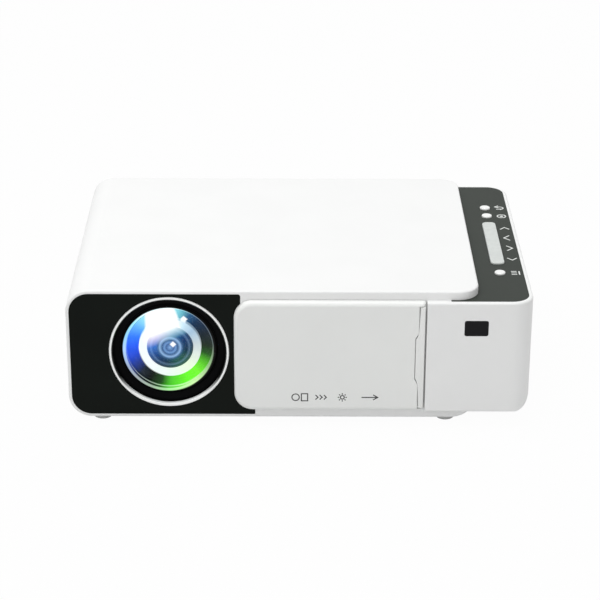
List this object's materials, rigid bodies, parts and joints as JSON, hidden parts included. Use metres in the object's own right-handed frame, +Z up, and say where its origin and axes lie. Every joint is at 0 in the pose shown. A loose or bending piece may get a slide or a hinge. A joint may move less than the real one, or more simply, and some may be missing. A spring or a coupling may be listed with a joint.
{
  "type": "home theater projector",
  "caption": "White box projector with a glossy black lens panel, a sliding lens cover with a finger grip, a round focusing lens and a dark key deck at its right end.",
  "frame": {"origin": "on the table under the middle of the body", "axes": "+Z up, +X to the right seen from the front, the lens looks towards -Y"},
  "size_m": [0.2, 0.142, 0.0626],
  "materials": {
    "case_white": "satin",
    "cover_white": "satin",
    "panel_black": "glossy",
    "port_black": "matte",
    "deck_grey": "matte",
    "key_white": "satin",
    "board_green": "satin",
    "chip_black": "matte",
    "window_dark": "glossy",
    "grip_grey": "satin",
    "nylon_black": "matte",
    "magnet_nickel": "polished",
    "rod_steel": "polished",
    "trim_silver": "satin",
    "ring_black": "satin",
    "cell_white": "satin",
    "pin_brass": "satin",
    "lens_glass": "coated",
    "fold_silver": "polished",
    "lcd_glass": "dark",
    "funnel_foil": "polished",
    "led_yellow": "satin",
    "sink_metal": "satin",
    "shell_metal": "polished",
    "jack_black": "satin",
    "cone_black": "matte",
    "ribbon_amber": "satin",
    "foot_rubber": "matte",
    "knob_black": "satin"
  },
  "bodies": {
    "case": {"base_cover": "case_white", "top_cover": "case_white", "end_block": "case_white", "front_panel": "panel_black", "rear_panel": "port_black", "control_panel": "deck_grey", "key_board": "board_green", "hall_sensor": "board_green", "main_board": "board_green", "driver_board": "board_green", "tact_switches": "chip_black", "ir_receiver": "chip_black", "board_parts": "chip_black", "driver_parts": "chip_black", "ir_window": "window_dark", "rail_frame": "nylon_black", "lens_housing": "nylon_black", "fold_chamber": "nylon_black", "lamp_holder": "nylon_black", "fan_frame": "nylon_black", "guide_rods": "rod_steel", "case_screws": "rod_steel", "trim_ring": "trim_silver", "tripod_insert": "pin_brass", "condenser_lens": "lens_glass", "fresnel_lens": "lens_glass", "fold_mirror": "fold_silver", "lcd_panel": "lcd_glass", "light_funnel": "funnel_foil", "led_chip": "led_yellow", "led_plate": "sink_metal", "heat_sink": "sink_metal", "hdmi_socket": "shell_metal", "usb_socket": "shell_metal", "speaker_frame": "shell_metal", "av_jack": "jack_black", "headphone_jack": "jack_black", "dc_inlet": "jack_black", "speaker_cone": "cone_black", "lcd_ribbon": "ribbon_amber", "rubber_feet": "foot_rubber"},
    "cover": {"slide_cover": "cover_white", "cover_grip": "grip_grey", "cover_carriage": "nylon_black", "cover_magnet": "magnet_nickel"},
    "focus": {"focus_ring": "ring_black"},
    "barrel": {"lens_barrel": "ring_black", "cam_pins": "pin_brass", "front_lens": "lens_glass", "lens_retainer": "trim_silver", "lens_cell": "cell_white", "inner_lens": "lens_glass", "rear_lens": "lens_glass"},
    "fan": {"fan_rotor": "nylon_black"},
    "power": {"power_button": "key_white"},
    "source": {"source_button": "key_white"},
    "menu": {"menu_button": "key_white"},
    "arrows": {"arrow_bar": "key_white"},
    "pad": {"foot_pad": "foot_rubber"},
    "screw": {"foot_screw": "knob_black"}
  },
  "joints": [
    {"name": "cover_slide", "type": "slide", "parent": "case", "child": "cover", "axis": [-1, 0, 0], "range_m": [0, 0.068]},
    {"name": "focus_turn", "type": "hinge", "parent": "case", "child": "focus", "pos_m": [-0.0561, -0.053, 0.0339], "axis": [0, 1, 0], "range_deg": [-36, 36]},
    {"name": "focus_slide", "type": "slide", "parent": "case", "child": "barrel", "axis": [0, 1, 0], "range_m": [-0.0026, 0.0026]},
    {"name": "fan_spin", "type": "hinge", "parent": "case", "child": "fan", "pos_m": [0.088, 0, 0.0296], "axis": [1, 0, 0], "continuous": true},
    {"name": "power_press", "type": "slide", "parent": "case", "child": "power", "axis": [0, 0, -1], "range_m": [0, 0.0005], "stiffness_N_per_m": 1500},
    {"name": "source_press", "type": "slide", "parent": "case", "child": "source", "axis": [0, 0, -1], "range_m": [0, 0.0005], "stiffness_N_per_m": 1500},
    {"name": "menu_press", "type": "slide", "parent": "case", "child": "menu", "axis": [0, 0, -1], "range_m": [0, 0.0005], "stiffness_N_per_m": 1500},
    {"name": "arrow_press", "type": "slide", "parent": "case", "child": "arrows", "axis": [0, 0, -1], "range_m": [0, 0.0005], "stiffness_N_per_m": 1500},
    {"name": "pad_slide", "type": "slide", "parent": "case", "child": "pad", "axis": [0, 0, -1], "range_m": [0, 0.009]},
    {"name": "screw_turn", "type": "hinge", "parent": "pad", "child": "screw", "pos_m": [0.012, -0.0535, 0.004], "axis": [0, 0, -1], "range_deg": [0, 2161]}
  ],
  "couplings": [
    {"joint": "focus_slide", "follows": "focus_turn", "m_per_rad": 0.0039789},
    {"joint": "screw_turn", "follows": "pad_slide", "rad_per_m": 4188.8}
  ]
}
